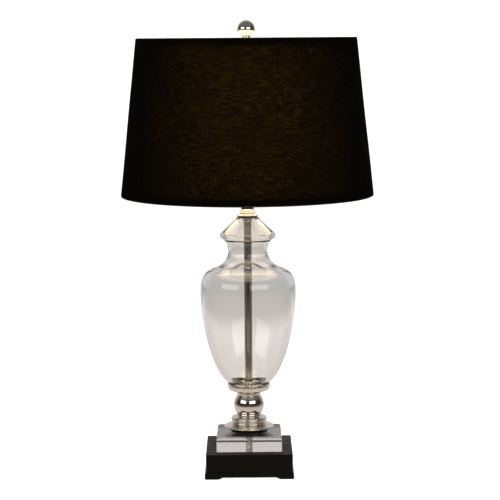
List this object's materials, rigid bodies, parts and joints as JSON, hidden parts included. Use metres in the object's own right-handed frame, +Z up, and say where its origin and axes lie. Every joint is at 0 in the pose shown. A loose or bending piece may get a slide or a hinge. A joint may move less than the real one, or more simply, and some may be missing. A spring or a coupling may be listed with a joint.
{
  "type": "table lamp",
  "caption": "Table lamp: tapered black drum shade on a harp, clear glass urn over a nickel column, crystal block and black plinth.",
  "frame": {"origin": "centre of the plinth's footprint, on the surface it stands on", "axes": "+Z up along the lamp's axis, the front faces -Y, the cord outlet faces +Y"},
  "size_m": [0.4059, 0.406, 0.7284],
  "materials": {
    "felt": "matt felt",
    "black_wood": "satin black lacquer over wood",
    "raw_wood": "bare softwood",
    "fibreboard": "dark fibreboard",
    "steel": "zinc plated steel",
    "black_rubber": "matt black rubber",
    "cork": "brown cork",
    "crystal": "clear optical crystal, polished",
    "clear_glass": "clear blown glass, polished",
    "nickel": "polished nickel plate",
    "brass": "bright brass",
    "black_card": "black insulating card",
    "black_plastic": "moulded black plastic",
    "bulb_glass": "frosted white glass",
    "bulb_clear_glass": "clear glass",
    "bulb_metal": "bright aluminium and wire",
    "shade_fabric": "black linen weave, slightly translucent",
    "shade_liner": "translucent cream styrene",
    "ring_wire": "plated steel wire"
  },
  "bodies": {
    "lamp": {"foot_pads": "felt", "plinth_front": "black_wood", "plinth_back": "black_wood", "plinth_left": "black_wood", "plinth_right": "black_wood", "base_board": "black_wood", "corner_blocks": "raw_wood", "bottom_cover": "fibreboard", "cover_screws": "steel", "bottom_washer": "steel", "bottom_nut": "steel", "threaded_pipe": "steel", "pipe_locknut": "steel", "cap_set_screw": "steel", "cord_bushing": "black_rubber", "block_gasket": "black_rubber", "column_seat": "black_rubber", "cap_gasket": "black_rubber", "cup_gasket": "cork", "crystal_block": "crystal", "glass_urn": "clear_glass", "column_flange": "nickel", "column_collar": "nickel", "column_ball": "nickel", "ball_ring": "nickel", "glass_cup": "nickel", "centre_tube": "nickel", "tube_foot": "nickel", "tube_head": "nickel", "vase_cap": "nickel", "cap_ring": "nickel", "neck_spindle": "nickel", "harp_saddle": "nickel", "harp_wire": "nickel", "harp_seat": "nickel", "socket_cap": "brass", "socket_shell": "brass", "socket_screw_shell": "brass", "socket_contact": "brass", "terminal_screws": "brass", "insulating_sleeve": "black_card", "socket_body": "black_plastic"},
    "shade": {"shade_fabric": "shade_fabric", "shade_liner": "shade_liner", "shade_top_ring": "ring_wire", "shade_bottom_ring": "ring_wire", "shade_spider": "nickel"},
    "finial": {"finial_base": "nickel", "finial_ball": "nickel"},
    "bulb": {"bulb_glass": "bulb_glass", "bulb_base": "bulb_metal", "bulb_insulator": "black_plastic", "bulb_contact": "bulb_metal", "bulb_stem": "bulb_clear_glass", "bulb_filament": "bulb_metal"},
    "switch": {"switch_stem": "nickel", "switch_knob": "black_plastic"},
    "ferrule_left": {"harp_ferrule_left": "nickel"},
    "ferrule_right": {"harp_ferrule_right": "nickel"}
  },
  "joints": [
    {"name": "shade_turn", "type": "hinge", "parent": "lamp", "child": "shade", "pos_m": [0, 0, 0.694], "axis": [0, 0, 1], "continuous": true},
    {"name": "finial_turn", "type": "hinge", "parent": "lamp", "child": "finial", "pos_m": [0, 0, 0.7], "axis": [0, 0, 1], "continuous": true},
    {"name": "bulb_turn", "type": "hinge", "parent": "lamp", "child": "bulb", "pos_m": [0, 0, 0.5], "axis": [0, 0, 1], "continuous": true},
    {"name": "switch_turn", "type": "hinge", "parent": "lamp", "child": "switch", "pos_m": [0, -0.02, 0.4816], "axis": [0, -1, 0], "continuous": true},
    {"name": "ferrule_left_lift", "type": "slide", "parent": "lamp", "child": "ferrule_left", "axis": [0, 0, 1], "range_m": [0, 0.012]},
    {"name": "ferrule_right_lift", "type": "slide", "parent": "lamp", "child": "ferrule_right", "axis": [0, 0, 1], "range_m": [0, 0.012]}
  ]
}
